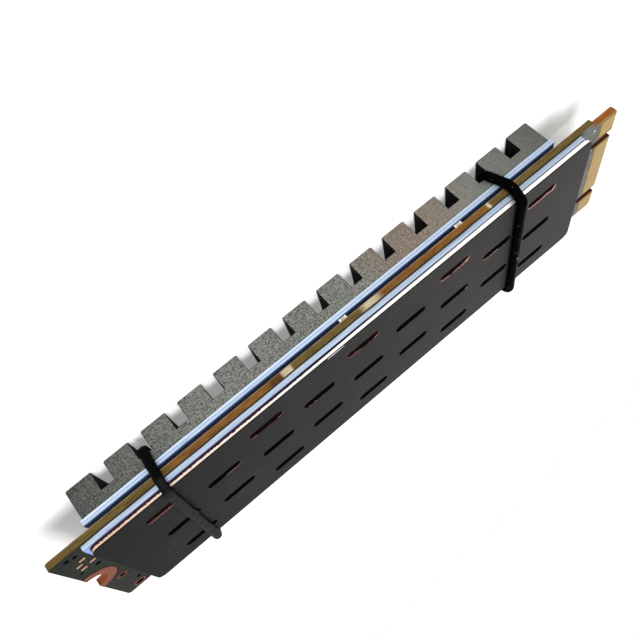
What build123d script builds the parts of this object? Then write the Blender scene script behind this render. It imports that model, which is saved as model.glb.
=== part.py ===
from build123d import *
import os

# A finned heat sink for a stick-shaped solid state drive, fitted on the drive: fins, soft pad, circuit board,
# soft pad and slotted plate, held together by two rubber bands.
# Sizes are in millimetres. X runs along the board, from its contact edge at -X to its screw notch at +X.
# Y runs across the board. Z rises from the fin tips, which the assembly stands on, to the plate on top.
# The origin is on the standing plane, under the middle of the board.

# Circuit board
board_length = 80.0
board_width = 22.0
board_thickness = 0.8
board_corner_chamfer = 0.3

# Contact edge: a narrower tongue with two key slots and a row of fingers on each face
tongue_side_margin = 0.5
tongue_length = 4.0
tongue_tip_chamfer = 0.4
key_width = 1.2
key_depth = 3.5
finger_count = 75
finger_pitch = 0.25
finger_width = 0.35
finger_length = 2.3
finger_setback = 0.1
foil_thickness = 0.035
first_key_fingers = (12, 19)
second_key_fingers = (59, 66)

# Screw notch at the other end, with its metal ring, and the bare pads beside it
notch_radius = 1.75
notch_ring_radius = 2.9
service_pad_length = 0.7
service_pad_width = 0.4
service_pad_places = ((2.45, -7.65), (2.8, -5.7), (1.65, -6.7), (1.6, -5.45))

# Finned block
tooth_width = 3.2
saw_slot_width = 1.6
fin_depth = 2.35
sink_base = 1.3
sink_edge_chamfer = 0.12
sink_notch_setback = 5.3
sink_contact_setback = 9.1

# The sink, both pads and the plate are cut to one width
cooler_width = 21.0

# Soft pads
sink_pad_thickness = 0.65
sink_pad_overhang = 0.2
plate_pad_thickness = 0.6
plate_pad_overhang = 0.35
plate_pad_inset = 0.75

# Slotted plate
plate_thickness = 0.7
plate_corner_radius = 1.0
plate_notch_setback = 4.15
plate_contact_setback = 5.55
plate_slot_length = 4.55
plate_slot_width = 1.2
plate_slot_column_pitch = 6.87
plate_slot_row_pitch = 7.05
plate_slot_end_margin = 5.0
plate_slot_side_margin = 3.2

# Chips, which all reach the sink's pad, and the small parts, which stay clear of it
chip_height = 0.72
chip_margin = 0.9
chip_gap = 1.2
small_part_drop = 0.22
power_chip_size = 4.5
power_chip_inset = 5.5
controller_size = 12.0
controller_y = 1.5
cache_length = 7.5
cache_width = 11.0
flash_length = 14.0
flash_width = 18.0
flash_spacing = 3.2
firmware_chip_length = 3.0
firmware_chip_width = 4.0
firmware_chip_inset = 5.0
crystal_length = 2.5
crystal_width = 2.0
crystal_inset = 6.5
can_corner = 0.3

# Inductors beside the power chip
inductor_length = 2.5
inductor_width = 2.0
inductor_count = 4
inductor_gap = 0.7

# Small parts between the chips, and the row on the bare stretch by the contact edge
capacitor_length = 1.0
capacitor_width = 0.5
capacitor_pitch = 2.2
decoupling_count = 8
coupling_count = 8
controller_capacitor_count = 4
edge_capacitor_places = (1.1, -15.7)
edge_capacitor_inset = 0.5
resistor_length = 1.0
resistor_width = 0.5
resistor_height = 0.35
resistor_pitch = 1.1
edge_resistor_count = 7
clock_resistor_count = 3
bulk_capacitor_length = 3.2
bulk_capacitor_width = 1.6
bulk_capacitor_height = 1.25
bulk_capacitor_count = 3
bulk_row_pitch = 3.7
bulk_row_shift = 4.9
transistor_length = 2.9
transistor_width = 1.3
transistor_height = 1.0
transistor_lead_width = 0.4
transistor_lead_reach = 0.5
transistor_lead_height = 0.15
transistor_lead_pitch = 1.9
transistor_count = 2
bare_row_gap = 0.6

# Rubber bands, each in one saw slot counted from the screw-notch end
band_diameter = 1.3
band_clearance = 0.02
band_bend_radius = 1.15
notch_band_slot = 2
notch_band_near_offset = 0.4
notch_band_far_offset = 1.25
contact_band_slot = 12
contact_band_near_offset = -0.5
contact_band_far_offset = -0.5

# Levels, from the fin tips up
sink_top = fin_depth + sink_base
sink_pad_top = sink_top + sink_pad_thickness
board_low = sink_pad_top + chip_height
board_high = board_low + board_thickness
plate_low = board_high + plate_pad_thickness
plate_high = plate_low + plate_thickness

# Places across and along the board
tongue_width = (finger_count - 1) * finger_pitch + finger_width + 2 * tongue_side_margin
widest = max(board_width, cooler_width)
notch_end_x = board_length / 2
contact_end_x = -board_length / 2
tongue_root_x = contact_end_x + tongue_length
tooth_pitch = tooth_width + saw_slot_width
sink_room = board_length - sink_notch_setback - sink_contact_setback
tooth_count = round((sink_room + saw_slot_width) / tooth_pitch)
sink_length = tooth_count * tooth_pitch - saw_slot_width
sink_notch_end_x = notch_end_x - sink_notch_setback
sink_contact_end_x = sink_notch_end_x - sink_length
sink_x = sink_notch_end_x - sink_length / 2
plate_length = board_length - plate_notch_setback - plate_contact_setback
plate_x = notch_end_x - plate_notch_setback - plate_length / 2
plate_pad_length = plate_length + plate_pad_overhang - plate_pad_inset
plate_pad_x = plate_x + (plate_pad_overhang + plate_pad_inset) / 2
pad_contact_end_x = sink_contact_end_x - sink_pad_overhang

# The chips follow one another from the contact end of the sink
small_part_height = chip_height - small_part_drop
power_x = sink_contact_end_x + chip_margin + power_chip_size / 2
controller_x = power_x + power_chip_size / 2 + chip_gap + controller_size / 2
clock_x = controller_x + controller_size / 2 + chip_gap + firmware_chip_length / 2
cache_x = clock_x + firmware_chip_length / 2 + chip_gap / 2 + cache_length / 2
first_flash_x = cache_x + cache_length / 2 + chip_gap + flash_length / 2
flash_pitch = flash_length + flash_spacing
flash_room = sink_notch_end_x - first_flash_x + flash_length / 2 + flash_spacing
flash_count = int(flash_room / flash_pitch)
decoupling_x = first_flash_x + flash_pitch / 2
edge_row_y = edge_capacitor_inset - board_width / 2
power_chip_y = board_width / 2 - power_chip_inset
firmware_chip_y = board_width / 2 - firmware_chip_inset
crystal_y = crystal_inset - board_width / 2
inductor_pitch = inductor_width + inductor_gap
inductor_first_y = power_chip_y - power_chip_size / 2 - inductor_gap - inductor_width / 2
bulk_row_x = pad_contact_end_x - bare_row_gap - bulk_capacitor_width / 2
small_row_x = bulk_row_x - bulk_capacitor_width / 2 - bare_row_gap - capacitor_length / 2


def block(length, width, height, x, y, low):
    """A rectangular block centred on x and y, with its lower face at the given level."""
    return Pos(x, y, low) * Box(length, width, height, align=(Align.CENTER, Align.CENTER, Align.MIN))


def hanging_block(length, width, height, x, y):
    """A block under the board's lower face, where the chips and small parts are soldered."""
    return block(length, width, height, x, y, board_low - height)


def centred_row(count, pitch):
    """Evenly spaced places on both sides of zero."""
    return [(number - (count - 1) / 2) * pitch for number in range(count)]


def saw_slot_x(number):
    """Middle of a saw slot, counted from 1 at the screw-notch end of the sink."""
    return sink_notch_end_x - number * tooth_pitch + saw_slot_width / 2


def finger_y(number):
    """Place of a contact finger across the board, counted from 1."""
    return (number - (finger_count + 1) / 2) * finger_pitch


def key_y(missing):
    """A key slot sits in the middle of the fingers that it takes away."""
    return (finger_y(missing[0]) + finger_y(missing[1])) / 2


def make_finned_heat_sink():
    """Comb profile seen from the long side, drawn out across the width of the sink."""
    comb = Rectangle(sink_length, sink_top, align=(Align.CENTER, Align.MIN))
    for number in range(1, tooth_count):
        comb -= Pos(saw_slot_x(number) - sink_x, 0) * Rectangle(saw_slot_width, fin_depth * 2)
    tips = comb.vertices().group_by(Axis.Y)[0]
    comb = chamfer(tips, sink_edge_chamfer)
    return Pos(sink_x, 0, 0) * extrude(Plane.XZ * comb, cooler_width / 2, both=True)


def make_sink_thermal_pad():
    """The pad is cut a little longer than the sink that it lies on."""
    return block(sink_length + 2 * sink_pad_overhang, cooler_width, sink_pad_thickness, sink_x, 0, sink_top)


def make_circuit_board():
    """Full-width board, narrower tongue with two round-ended key slots, and a half-round screw notch."""
    body_length = board_length - tongue_length
    body = Rectangle(body_length, board_width)
    body = Pos(notch_end_x - body_length / 2, 0) * chamfer(body.vertices(), board_corner_chamfer)
    tongue = Rectangle(tongue_length * 2, tongue_width)
    tongue = chamfer(tongue.vertices().group_by(Axis.X)[0], tongue_tip_chamfer)
    outline = body + Pos(tongue_root_x, 0) * tongue
    for missing in (first_key_fingers, second_key_fingers):
        outline -= Pos(contact_end_x, key_y(missing)) * SlotOverall(key_depth * 2, key_width)
    outline -= Pos(notch_end_x, 0) * Circle(notch_radius + foil_thickness)
    return Pos(0, 0, board_low) * extrude(outline, board_thickness)


def make_contact_fingers(first, low):
    """Every other finger of the row, flat on one face of the tongue, with none at the key slots."""
    missing = [n for ends in (first_key_fingers, second_key_fingers) for n in range(ends[0], ends[1] + 1)]
    x = contact_end_x + finger_setback + finger_length / 2
    fingers = []
    for number in range(first, finger_count + 1, 2):
        if number not in missing:
            fingers.append(block(finger_length, finger_width, foil_thickness, x, finger_y(number), low))
    return Compound(children=fingers)


def make_screw_notch_plating():
    """Metal wall of the half-round notch, with a half ring on each face of the board."""
    ring = Circle(notch_ring_radius) - Circle(notch_radius)
    wall = Circle(notch_radius + foil_thickness) - Circle(notch_radius)
    half = Rectangle(notch_ring_radius * 2, notch_ring_radius * 4, align=(Align.MAX, Align.CENTER))
    rings = extrude(ring & half, foil_thickness)
    lining = extrude(wall & half, board_thickness)
    plating = Pos(0, 0, board_high) * rings
    plating += Pos(0, 0, board_low - foil_thickness) * rings
    plating += Pos(0, 0, board_low) * lining
    return Pos(notch_end_x, 0, 0) * plating


def make_service_pads():
    """Small bare pads on the plate side of the board, near the screw notch."""
    pads = []
    for inset, y in service_pad_places:
        x = notch_end_x - inset
        pads.append(block(service_pad_length, service_pad_width, foil_thickness, x, y, board_high))
    return Compound(children=pads)


def make_chip(length, width, x, y):
    """Flat moulded package, as tall as the gap between the board and the sink's pad."""
    return hanging_block(length, width, chip_height, x, y)


def cut_corner_block(length, width, height, x, y):
    """A hanging block with its four upright corners cut off."""
    outline = Rectangle(length, width)
    outline = chamfer(outline.vertices(), can_corner)
    return Pos(x, y, board_low - height) * extrude(outline, height)


def make_crystal():
    """Metal can with cut corners, in line with the firmware chip."""
    return cut_corner_block(crystal_length, crystal_width, small_part_height, clock_x, crystal_y)


def make_power_inductors():
    """Row of moulded inductors across the board beside the power chip."""
    row = []
    for number in range(inductor_count):
        y = inductor_first_y - number * inductor_pitch
        row.append(cut_corner_block(inductor_length, inductor_width, chip_height, power_x, y))
    return Compound(children=row)


def capacitor(x, y):
    """One small ceramic capacitor, lying along the board."""
    return hanging_block(capacitor_length, capacitor_width, small_part_height, x, y)


def make_ceramic_capacitors():
    """A column between the flash chips, the ones on the long edge, and a row by the contact edge."""
    parts = [capacitor(x, edge_row_y) for x in edge_capacitor_places]
    for y in centred_row(decoupling_count, capacitor_pitch):
        parts.append(capacitor(decoupling_x, y))
    for number in range(coupling_count):
        parts.append(capacitor(small_row_x, (number + 0.5) * resistor_pitch))
    controller_row_y = controller_y - controller_size / 2 - chip_gap - capacitor_width / 2
    for x in centred_row(controller_capacitor_count, capacitor_pitch):
        parts.append(capacitor(controller_x + x, controller_row_y))
    return Compound(children=parts)


def make_chip_resistors():
    """Flat resistors along the contact edge and beside the crystal."""
    parts = []
    for number in range(edge_resistor_count):
        y = -(number + 0.5) * resistor_pitch
        parts.append(hanging_block(resistor_length, resistor_width, resistor_height, small_row_x, y))
    for number in range(clock_resistor_count):
        y = crystal_y + crystal_width / 2 + (number + 1) * resistor_pitch
        parts.append(hanging_block(resistor_length, resistor_width, resistor_height, clock_x, y))
    return Compound(children=parts)


def make_bulk_capacitors():
    """Tall capacitors on the bare stretch of board, beyond the end of the sink."""
    parts = []
    for number in range(bulk_capacitor_count):
        y = bulk_row_shift + (number - 1) * bulk_row_pitch
        length, width = bulk_capacitor_width, bulk_capacitor_length
        parts.append(hanging_block(length, width, bulk_capacitor_height, bulk_row_x, y))
    return Compound(children=parts)


def make_switch_transistors():
    """Two small moulded transistors with three flat leads each, in line with the tall capacitors."""
    parts = []
    for number in range(transistor_count):
        y = bulk_row_shift - (number + 2) * bulk_row_pitch
        body = hanging_block(transistor_width, transistor_length, transistor_height, bulk_row_x, y)
        reach = transistor_width / 2 + transistor_lead_reach / 2
        for side, across in ((1, -0.5), (1, 0.5), (-1, 0)):
            lead_y = y + across * transistor_lead_pitch
            body += hanging_block(transistor_lead_reach, transistor_lead_width, transistor_lead_height,
                                  bulk_row_x + side * reach, lead_y)
        parts.append(body)
    return Compound(children=parts)


def make_plate_thermal_pad():
    """The second pad lies on the board's bare face, under the plate."""
    return block(plate_pad_length, cooler_width, plate_pad_thickness, plate_pad_x, 0, board_high)


def make_slotted_back_plate():
    """Thin plate with short round-ended slots, laid like bricks: columns of three and of two in turn."""
    outline = RectangleRounded(plate_length, cooler_width, plate_corner_radius)
    slotted_length = plate_length - 2 * plate_slot_end_margin - plate_slot_length
    columns = int(slotted_length / plate_slot_column_pitch) + 1
    full_rows = int((cooler_width - 2 * plate_slot_side_margin) / plate_slot_row_pitch) + 1
    for column in range(columns):
        rows = full_rows - column % 2
        x = (column - (columns - 1) / 2) * plate_slot_column_pitch
        for row in range(rows):
            y = (row - (rows - 1) / 2) * plate_slot_row_pitch
            outline -= Pos(x, y) * SlotOverall(plate_slot_length, plate_slot_width)
    return Pos(plate_x, 0, plate_low) * extrude(outline, plate_thickness)


def make_band(slot_number, near_offset, far_offset):
    """A stretched rubber ring: along a saw slot, up both long sides past the board, and over the plate."""
    x = saw_slot_x(slot_number)
    side = widest / 2 + band_clearance + band_diameter / 2
    low = fin_depth - band_clearance - band_diameter / 2
    high = plate_high + band_clearance + band_diameter / 2
    corners = [(x, -side, low), (x + near_offset, -side, high), (x + far_offset, side, high), (x, side, low)]
    path = FilletPolyline(*corners, radius=band_bend_radius, close=True)
    runs = []
    for edge in path.edges():
        section = Plane(origin=edge @ 0, z_dir=edge % 0) * Circle(band_diameter / 2)
        runs.append(sweep(section, path=edge))
    return Part() + runs


def make_flash_memory_chips():
    """As many equal flash chips in line as the stretch under the sink holds."""
    chips = {}
    for number in range(flash_count):
        x = first_flash_x + number * flash_pitch
        chips[f"flash_memory_chip_{number + 1}"] = make_chip(flash_length, flash_width, x, 0)
    return chips


def make_parts():
    """Every piece of the assembly, by the name of its node."""
    return {
        "finned_heat_sink": make_finned_heat_sink(),
        "sink_thermal_pad": make_sink_thermal_pad(),
        "circuit_board": make_circuit_board(),
        "contact_fingers_sink_side": make_contact_fingers(1, board_low - foil_thickness),
        "contact_fingers_plate_side": make_contact_fingers(2, board_high),
        "screw_notch_plating": make_screw_notch_plating(),
        "service_pads": make_service_pads(),
        "controller_chip": make_chip(controller_size, controller_size, controller_x, controller_y),
        "cache_memory_chip": make_chip(cache_length, cache_width, cache_x, 0),
        **make_flash_memory_chips(),
        "power_chip": make_chip(power_chip_size, power_chip_size, power_x, power_chip_y),
        "firmware_chip": make_chip(firmware_chip_length, firmware_chip_width, clock_x, firmware_chip_y),
        "crystal_oscillator": make_crystal(),
        "power_inductors": make_power_inductors(),
        "bulk_capacitors": make_bulk_capacitors(),
        "ceramic_capacitors": make_ceramic_capacitors(),
        "chip_resistors": make_chip_resistors(),
        "switch_transistors": make_switch_transistors(),
        "plate_thermal_pad": make_plate_thermal_pad(),
        "slotted_back_plate": make_slotted_back_plate(),
        "band_by_screw_notch": make_band(notch_band_slot, notch_band_near_offset, notch_band_far_offset),
        "band_by_contacts": make_band(contact_band_slot, contact_band_near_offset, contact_band_far_offset),
    }


os.makedirs("parts", exist_ok=True)
for name, part in make_parts().items():
    export_step(part, f"parts/{name}.step")
    print(name, "volume", round(part.volume, 3))
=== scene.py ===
# %% [markdown]
# # A finned heat sink, clamped on a stick-shaped drive
# The real thing is a sandwich: a black finned block, a soft blue pad, the drive's circuit board, a second pad and
# a thin slotted copper plate, held by two rubber bands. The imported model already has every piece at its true
# size, so this lesson never moves or resizes one. It gives each surface its finish, and it replaces the soft
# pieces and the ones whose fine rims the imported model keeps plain.

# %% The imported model
import math

import bmesh
import bpy
from mathutils import Matrix, Quaternion, Vector, noise


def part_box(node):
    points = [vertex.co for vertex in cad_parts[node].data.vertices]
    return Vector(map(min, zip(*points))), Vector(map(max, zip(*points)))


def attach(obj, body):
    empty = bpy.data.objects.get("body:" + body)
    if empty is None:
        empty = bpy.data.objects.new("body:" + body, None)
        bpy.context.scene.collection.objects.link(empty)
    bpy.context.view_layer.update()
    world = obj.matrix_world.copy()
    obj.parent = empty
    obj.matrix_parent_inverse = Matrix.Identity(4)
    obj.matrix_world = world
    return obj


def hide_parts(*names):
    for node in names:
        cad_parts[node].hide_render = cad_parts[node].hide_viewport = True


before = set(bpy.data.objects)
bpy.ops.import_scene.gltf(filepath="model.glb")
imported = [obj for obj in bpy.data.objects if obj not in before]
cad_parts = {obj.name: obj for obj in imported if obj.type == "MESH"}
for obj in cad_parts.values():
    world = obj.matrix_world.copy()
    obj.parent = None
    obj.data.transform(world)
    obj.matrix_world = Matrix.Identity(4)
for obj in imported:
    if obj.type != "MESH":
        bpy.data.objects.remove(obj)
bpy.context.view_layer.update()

mm = 0.001
scene = bpy.context.scene
scene.view_settings.view_transform = "Standard"

# %% [markdown]
# ## The camera
# The object was photographed from just above its slotted plate, across one long side, with the camera turned
# until the drive ran corner to corner. A camera can be set by aiming it at an empty, but here its azimuth, its
# elevation and its roll are written down, because those three angles are what the picture is about.

# %% Camera
camera_place = Vector((16.52, -84.02, 36.62)) * mm
camera_azimuth = math.radians(10.45)
camera_elevation = math.radians(24.17)
camera_roll = math.radians(136.59)
camera_lens = 42.73
camera_sees = (1 * mm, 10.0)


def way_to(azimuth, elevation):
    """The direction from the object to a place at an azimuth, counted from -Y, and an elevation."""
    level = math.cos(elevation)
    return Vector((math.sin(azimuth) * level, -math.cos(azimuth) * level, math.sin(elevation)))


def aim(thing, away, roll=0.0):
    """Turns a camera or a lamp to look back along a direction, rolled about its line of sight."""
    thing.rotation_mode = "QUATERNION"
    thing.rotation_quaternion = (-away).to_track_quat("-Z", "Y") @ Quaternion((0, 0, 1), roll)


bpy.ops.object.camera_add(location=camera_place)
camera = bpy.context.object
aim(camera, way_to(camera_azimuth, camera_elevation), camera_roll)
camera.data.lens = camera_lens
camera.data.clip_start, camera.data.clip_end = camera_sees
scene.camera = camera
print("camera", round(math.degrees(camera_elevation), 1), "degrees above the plate")

# %% [markdown]
# ## Nodes by the handful
# Every finish below is a node tree. Written out in full, a tree is mostly bookkeeping, so small helpers do it:
# they add a node and fill its sockets, do sums, turn a stretch of a value into a ramp, and lay one colour over
# another. A value in a socket may be a plain number or the output of another node. Values whose names end in
# along, across or reach are the two ends of a ramp, in millimetres; where they have four numbers, the last two
# are what the ramp gives at those ends.

# %% Node helpers
def feed(socket, value):
    """Links another node's output to a socket, or sets the socket's own value."""
    if isinstance(value, bpy.types.NodeSocket):
        socket.id_data.links.new(value, socket)
    else:
        socket.default_value = value


def add_node(tree, kind, inputs, **settings):
    """Adds a shader node, with its settings and what goes into its sockets."""
    made = tree.nodes.new("ShaderNode" + kind)
    for name, value in settings.items():
        setattr(made, name, value)
    for socket, value in inputs.items():
        feed(made.inputs[socket], value)
    return made


def calc(operation, first, second=0.0):
    """One sum on two values, in the tree that one of them comes from."""
    tree = next(value.id_data for value in (first, second) if isinstance(value, bpy.types.NodeSocket))
    return add_node(tree, "Math", {0: first, 1: second}, operation=operation).outputs[0]


def product(value, *others):
    """All the values multiplied together."""
    for other in others:
        value = calc("MULTIPLY", value, other)
    return value


def inverse(share):
    """1 where a share is 0, and 0 where it is 1."""
    return calc("SUBTRACT", 1.0, share)


def ramp(value, start, end, low=0.0, high=1.0):
    """Low where the value is at start, high where it is at end, and held beyond both."""
    inputs = {"Value": value, "From Min": start, "From Max": end, "To Min": low, "To Max": high}
    return add_node(value.id_data, "MapRange", inputs).outputs["Result"]


def span_mask(x, low, high, soft):
    """1 from low to high, fading over a soft border."""
    return product(ramp(x, low - soft, low + soft), ramp(x, high + soft, high - soft))


def paint_over(colour, *coats):
    """A colour with others laid over it in turn, each as far as its share from 0 to 1 says."""
    for share, coat in coats:
        colour = add_node(share.id_data, "Mix", {0: share, 6: colour, 7: coat}, data_type="RGBA").outputs[2]
    return colour


def rgb(red, green, blue):
    """A colour with full cover."""
    return (red, green, blue, 1.0)


# %% [markdown]
# ## Effects that several finishes share
# Three groups, each built once. The first tells a finish where a point is, in millimetres, and which way its
# surface faces: that is how one black block can have grey ground sides, and one plate a dark face and a bare
# edge. The second is fine grain, of any size and stretched along X if wanted. The third is the dust that
# settles on what faces up.

# %% Node groups
def new_group(name, inputs, outputs):
    """An empty node group with named number sockets, and its two end nodes."""
    group = bpy.data.node_groups.new(name, "ShaderNodeTree")
    for label in inputs:
        group.interface.new_socket(name=label, in_out="INPUT", socket_type="NodeSocketFloat")
    for label in outputs:
        group.interface.new_socket(name=label, in_out="OUTPUT", socket_type="NodeSocketFloat")
    return group, group.nodes.new("NodeGroupInput"), group.nodes.new("NodeGroupOutput")


def use_group(tree, group, **values):
    """Places a group in a tree, with its own values, and gives back its outputs."""
    made = tree.nodes.new("ShaderNodeGroup")
    made.node_tree = group
    for label, value in values.items():
        feed(made.inputs[label], value)
    return made.outputs


# %% Place and facing
place, _, place_out = new_group("place_and_facing", [], ["X", "Y", "Z", "Level", "Sideways", "Up"])
coordinates = place.nodes.new("ShaderNodeTexCoord")
point = add_node(place, "SeparateXYZ", {0: coordinates.outputs["Object"]})
facing = add_node(place, "SeparateXYZ", {0: coordinates.outputs["Normal"]})
for axis in "XYZ":
    feed(place_out.inputs[axis], product(point.outputs[axis], 1 / mm))
feed(place_out.inputs["Level"], calc("ABSOLUTE", facing.outputs["Z"]))
feed(place_out.inputs["Sideways"], calc("ABSOLUTE", facing.outputs["Y"]))
feed(place_out.inputs["Up"], facing.outputs["Z"])
print("group", place.name)

# %% Fine grain
grain_contrast = (0.3, 0.7)
grain, grain_in, grain_out = new_group("fine_grain", ["Size", "Stretch"], ["Value"])
coordinates = grain.nodes.new("ShaderNodeTexCoord")
per_grain = calc("DIVIDE", 1 / mm, grain_in.outputs["Size"])
squeeze = calc("DIVIDE", per_grain, grain_in.outputs["Stretch"])
counts = add_node(grain, "CombineXYZ", {"X": squeeze, "Y": per_grain, "Z": per_grain}).outputs[0]
inputs = {0: coordinates.outputs["Object"], 1: counts}
grain_point = add_node(grain, "VectorMath", inputs, operation="MULTIPLY").outputs[0]
inputs = {"Vector": grain_point, "Scale": 1.0, "Detail": 3.0, "Roughness": 0.6}
clouds = add_node(grain, "TexNoise", inputs).outputs[0]
feed(grain_out.inputs["Value"], ramp(clouds, *grain_contrast))


def grain_of(tree, size, stretch=1.0):
    """Places the grain in a tree, with its size in millimetres and its stretch along X."""
    return use_group(tree, grain, Size=size, Stretch=stretch)["Value"]


print("group", grain.name)

# %% Settled dust
dust_facing = (0.2, 0.9)
dust_contrast = (0.25, 0.8)
dust, dust_in, dust_out = new_group("settled_dust", ["Amount"], ["Cover"])
speckle = ramp(product(grain_of(dust, 0.35), grain_of(dust, 6.0)), *dust_contrast)
upward = ramp(use_group(dust, place)["Up"], *dust_facing)
feed(dust_out.inputs["Cover"], product(speckle, upward, dust_in.outputs["Amount"]))
print("group", dust.name)

# %% A finish and its shader
def new_finish(name, roughness=0.5, specular=0.5, metallic=0.0, coat_roughness=0.03):
    """A material and its node tree, with its shader's plain numbers set on the shader itself."""
    material = bpy.data.materials.new(name)
    material.use_nodes = True
    inputs = material.node_tree.nodes["Principled BSDF"].inputs
    inputs["Roughness"].default_value = roughness
    inputs["Specular IOR Level"].default_value = specular
    inputs["Metallic"].default_value = metallic
    inputs["Coat Roughness"].default_value = coat_roughness
    return material, material.node_tree


def dress(material, looks, height, depth):
    """Feeds what varies over the surface, and relief: a height from 0 to 1 and its depth in millimetres."""
    tree = material.node_tree
    relief = add_node(tree, "Bump", {"Height": height, "Distance": depth * mm, "Strength": 1.0}).outputs[0]
    for socket, value in {**looks, "Normal": relief}.items():
        feed(tree.nodes["Principled BSDF"].inputs[socket], value)
    return material


# %% [markdown]
# ## Black anodised aluminium with ground sides
# The block was sawn and blacked, and its two long sides were then ground flat, which left them grey with a fine
# sparkling grain. Paint masks could be drawn by hand, but the facing of the surface already says which side is
# which. Over a stretch of the block the grey turns warm brown, a painted reflection, and it darkens towards
# both ends in painted shade.

# %% Black aluminium
ground_cool = rgb(0.300, 0.310, 0.277)
# A warm brown: painted reflection on the ground sides.
ground_warm_reflection = rgb(0.318, 0.222, 0.152)
# Dark for the grain's pits, and for the painted shade towards both ends.
pit_and_shade_dark = rgb(0.020, 0.021, 0.019)
anodised_black = rgb(0.004, 0.004, 0.0045)
block_dust = rgb(0.3, 0.29, 0.27)
grinding_contrast = (0.15, 0.85)
ground_facing = (0.99, 0.999)
warm_stretch = (-17.5, -4.5, 3.5)
warm_least = 0.6
painted_shade_ends = ((18.0, 35.0), (-14.0, -31.2))
painted_shade_share = 0.62
pits_along = (-26.0, 2.0, 0.40, 0.90)
black_roughness = 0.62
ground_roughness = 0.50


def make_black_aluminium():
    """Ground grey on the long sides, black everywhere else, fine grain over both."""
    material, tree = new_finish("black_aluminium", specular=0.03)
    where = use_group(tree, place)
    speckle = ramp(grain_of(tree, 0.12), *grinding_contrast)
    # Painted reflection: a warm brown stretch along the middle of the ground sides.
    drift = calc("MAXIMUM", grain_of(tree, 5.0, 1.5), warm_least)
    warm = product(span_mask(where["X"], *warm_stretch), drift)
    # Painted shade: the ground grey darkens towards both ends.
    dull = 0.0
    for inner, end in painted_shade_ends:
        dull = calc("MAXIMUM", dull, ramp(where["X"], inner, end, high=painted_shade_share))
    pits = product(inverse(speckle), ramp(where["X"], *pits_along))
    ground = paint_over(ground_cool, (warm, ground_warm_reflection), (dull, pit_and_shade_dark), (pits, pit_and_shade_dark))
    sides = ramp(where["Sideways"], *ground_facing)
    dusty = use_group(tree, dust, Amount=0.06)["Cover"]
    return dress(material, {
        "Base Color": paint_over(anodised_black, (sides, ground), (dusty, block_dust)),
        "Roughness": ramp(sides, 0, 1, black_roughness, ground_roughness),
    }, speckle, 0.014)


black_aluminium = make_black_aluminium()
print("finish", black_aluminium.name)

# %% [markdown]
# ## Soft silicone pads
# The pads are blue silicone, a little glossy where the knife went through them. Their cut sides are painted pale
# and their faces a deeper blue, lit and shaded copies of one blue. Painted shade also darkens a faint line along the
# middle furrow of the cut, greys the cut towards the contacts, and turns its upper lip violet towards the screw
# notch. The line and the lip lie at other heights on each pad, so a function makes one finish for each.

# %% Thermal pad
# The pale cut blue and the deeper face blue are lit and shaded copies of one silicone: painted light.
pad_cut_lit_blue = rgb(0.58, 0.69, 0.82)
pad_cut_shade = rgb(0.36, 0.49, 0.70)
pad_cut_shaded_grey = rgb(0.30, 0.37, 0.47)
pad_furrow_shade_blue = rgb(0.20, 0.31, 0.55)
pad_face_shaded_blue = rgb(0.26, 0.41, 0.90)
pad_lip_shade_violet = rgb(0.10, 0.09, 0.28)
pad_shade_share = 0.22
pad_shade_along = (4.0, -24.0, 0.0, 0.5)
pad_line_reach = (0.10, 0.05)
pad_lip_reach = (0.12, 0.04)
pad_lip_along = (-15.0, 20.0)
pad_facing = (0.55, 0.85)


def make_pad_finish(name, node, furrow_shade_depth, lip_shade_depth):
    """Painted light: pale cut sides, deeper blue faces, and shade in the middle furrow, towards the contacts and at
    the lip.
    """
    material, tree = new_finish(name, roughness=0.42, specular=0.4)
    low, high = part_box(node)
    where = use_group(tree, place)
    shade = product(grain_of(tree, 1.6, 5.0), pad_shade_share)
    off_middle = calc("ABSOLUTE", calc("SUBTRACT", where["Z"], (low.z + high.z) / 2 / mm))
    # Painted shade along the middle furrow of the cut.
    line = ramp(off_middle, *pad_line_reach, high=furrow_shade_depth)
    # Painted shade: the cut sides turn greyer towards the contacts.
    grey = ramp(where["X"], *pad_shade_along)
    # Painted shade: the upper lip turns violet towards the screw notch.
    below_top = calc("SUBTRACT", high.z / mm, where["Z"])
    lip = product(ramp(below_top, *pad_lip_reach, high=lip_shade_depth), ramp(where["X"], *pad_lip_along))
    # Painted shade: the faces take the deeper blue.
    faces = ramp(where["Level"], *pad_facing)
    colour = paint_over(pad_cut_lit_blue, (shade, pad_cut_shade), (line, pad_furrow_shade_blue), (grey, pad_cut_shaded_grey),
                        (lip, pad_lip_shade_violet), (faces, pad_face_shaded_blue))
    return dress(material, {"Base Color": colour}, grain_of(tree, 0.2, 2.0), 0.006)


# %% [markdown]
# ## Circuit board
# A board is glass cloth and resin with dark green lacquer on both faces. Its cut edge shows the brown laminate in
# thin layers. Where the router ran, it is red-brown. Where the board was snapped from its panel, the torn glass
# is pale, and the stretches beside those tabs are olive. Each stretch has its two ends along X and the softness of
# its border, in millimetres.

# %% Board laminate
olive_stretches = ((25.0, 41.0, 0.3), (-2.0, 9.0, 0.3), (-36.2, -19.6, 0.3))
olive_wander = 0.4
snapped_tabs = ((8.7, 10.0, 0.15), (-3.45, -1.2, 0.5), (-19.85, -19.45, 0.1))
burnt_lines = ((10.0, 11.6, 0.3), (-3.7, -3.45, 0.05))
burnt_share = 0.6
tongue_from = (-36.0, -36.1)
tongue_across = (10.2, 10.0)
keys_across = (8.0, 7.8)
low_rim_reach = (0.11, 0.06)
low_rim_share = 0.55
streak_share = 0.9
routed_brown = rgb(0.225, 0.100, 0.026)
olive_brown = rgb(0.148, 0.102, 0.032)
torn_glass = rgb(0.600, 0.520, 0.330)
tongue_orange = rgb(0.330, 0.105, 0.020)
key_brown = rgb(0.052, 0.012, 0.005)
laminate_shadow = rgb(0.040, 0.020, 0.006)
rim_painted_highlight = rgb(0.480, 0.320, 0.180)
board_low, board_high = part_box("circuit_board")


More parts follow.
